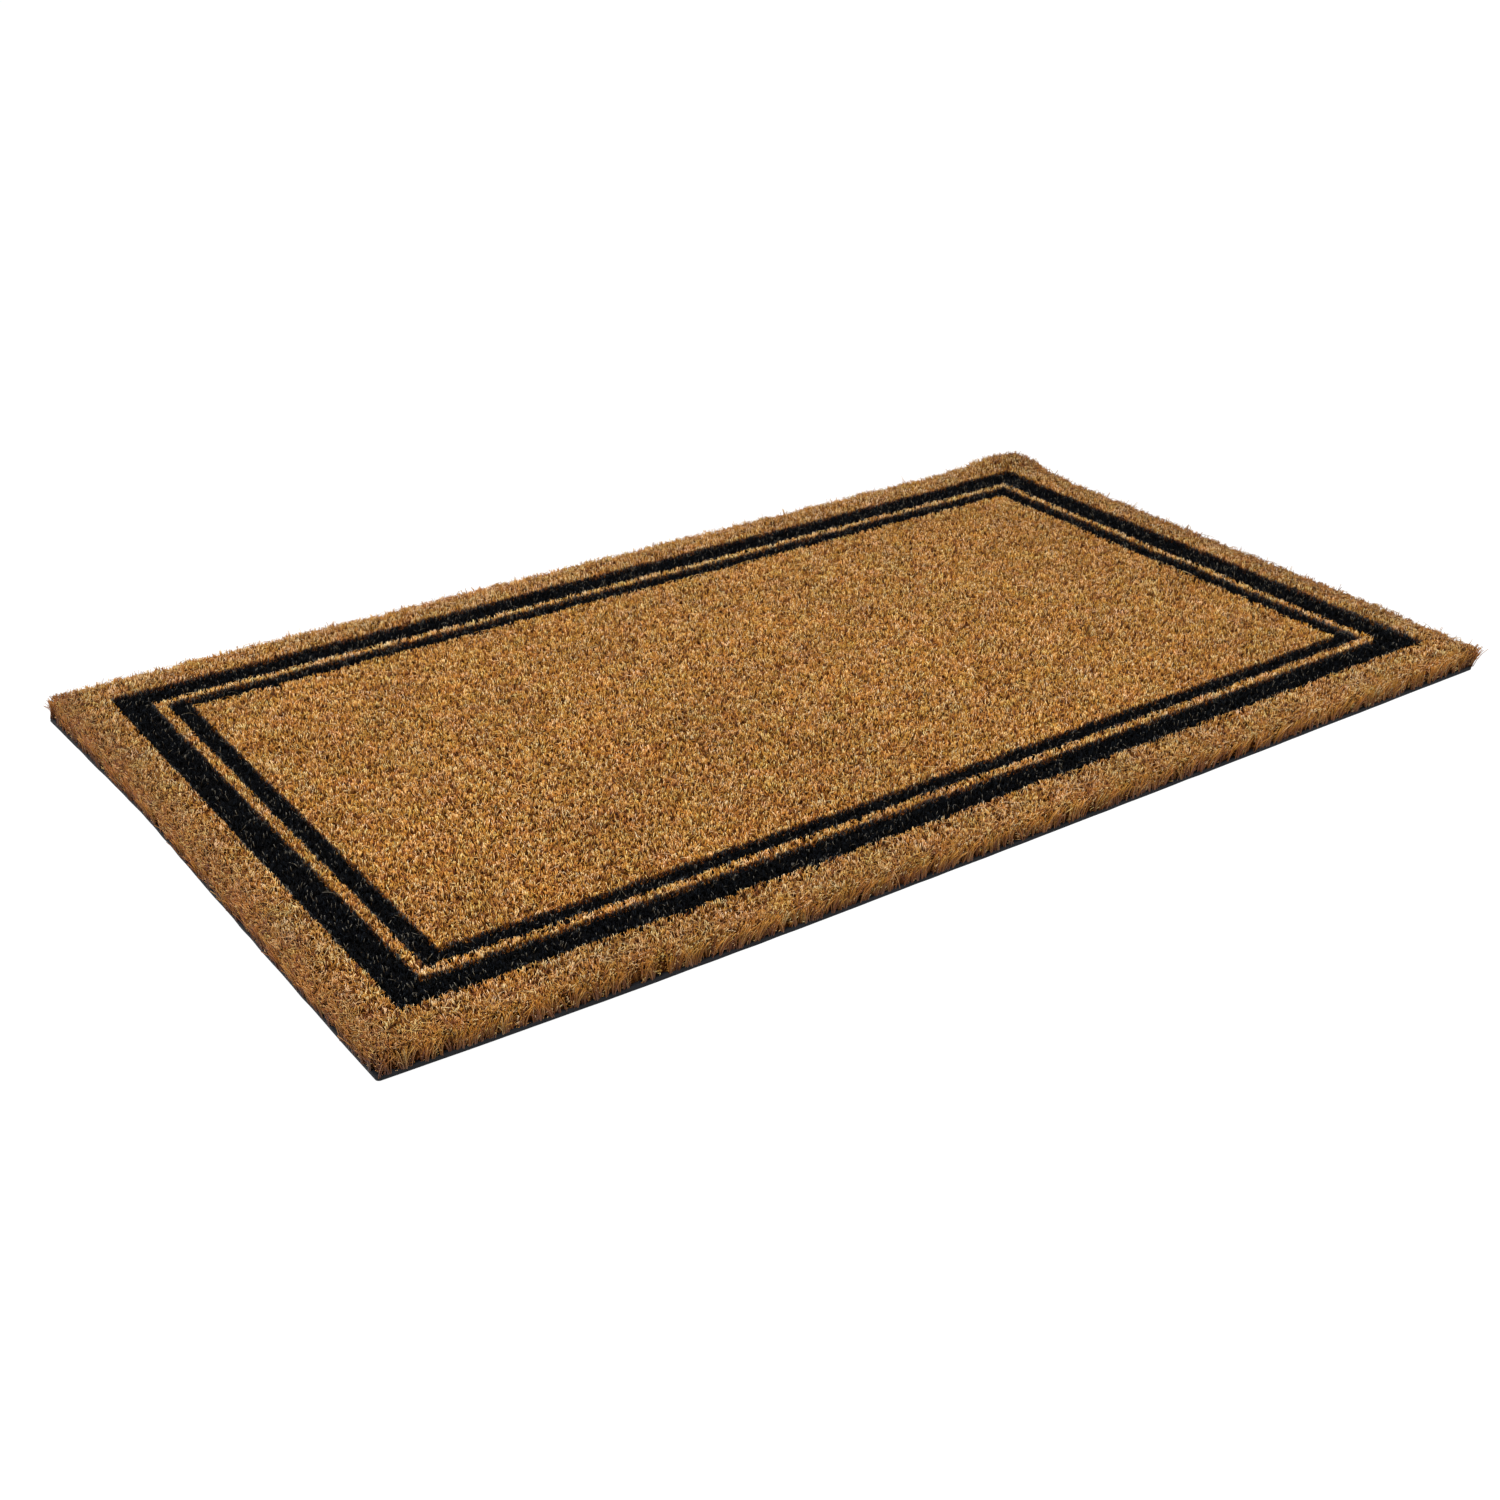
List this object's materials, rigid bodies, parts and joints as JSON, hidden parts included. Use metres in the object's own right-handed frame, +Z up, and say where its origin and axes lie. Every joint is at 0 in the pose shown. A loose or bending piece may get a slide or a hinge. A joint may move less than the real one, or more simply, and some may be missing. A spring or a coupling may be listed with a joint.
{
  "type": "door mat",
  "caption": "Rectangular coir door mat on a flexible vinyl backing, with a plain golden-brown pile and a double dark border band.",
  "frame": {"origin": "on the floor, under the middle of the mat", "axes": "+X along the long side, +Y along the short side away from the front edge, +Z up out of the pile"},
  "size_m": [0.7366, 0.4318, 0.017],
  "materials": {
    "vinyl": "matt charcoal flexible vinyl with a fine pebbled skin",
    "coir": "coarse golden-brown coconut fibre, cut and brushed",
    "dyed_coir": "coarse coconut fibre dyed near black"
  },
  "bodies": {
    "root": {"vinyl_backing": "vinyl", "pile_margin_front": "coir", "pile_margin_right": "coir", "pile_margin_back": "coir", "pile_margin_left": "coir", "pile_outer_band_front": "dyed_coir", "pile_outer_band_right": "dyed_coir", "pile_outer_band_back": "dyed_coir", "pile_outer_band_left": "dyed_coir", "pile_gap_line_front": "coir", "pile_gap_line_right": "coir", "pile_gap_line_back": "coir", "pile_gap_line_left": "coir", "pile_inner_band_front": "dyed_coir", "pile_inner_band_right": "dyed_coir", "pile_inner_band_back": "dyed_coir", "pile_inner_band_left": "dyed_coir", "pile_field": "coir"}
  },
  "joints": []
}
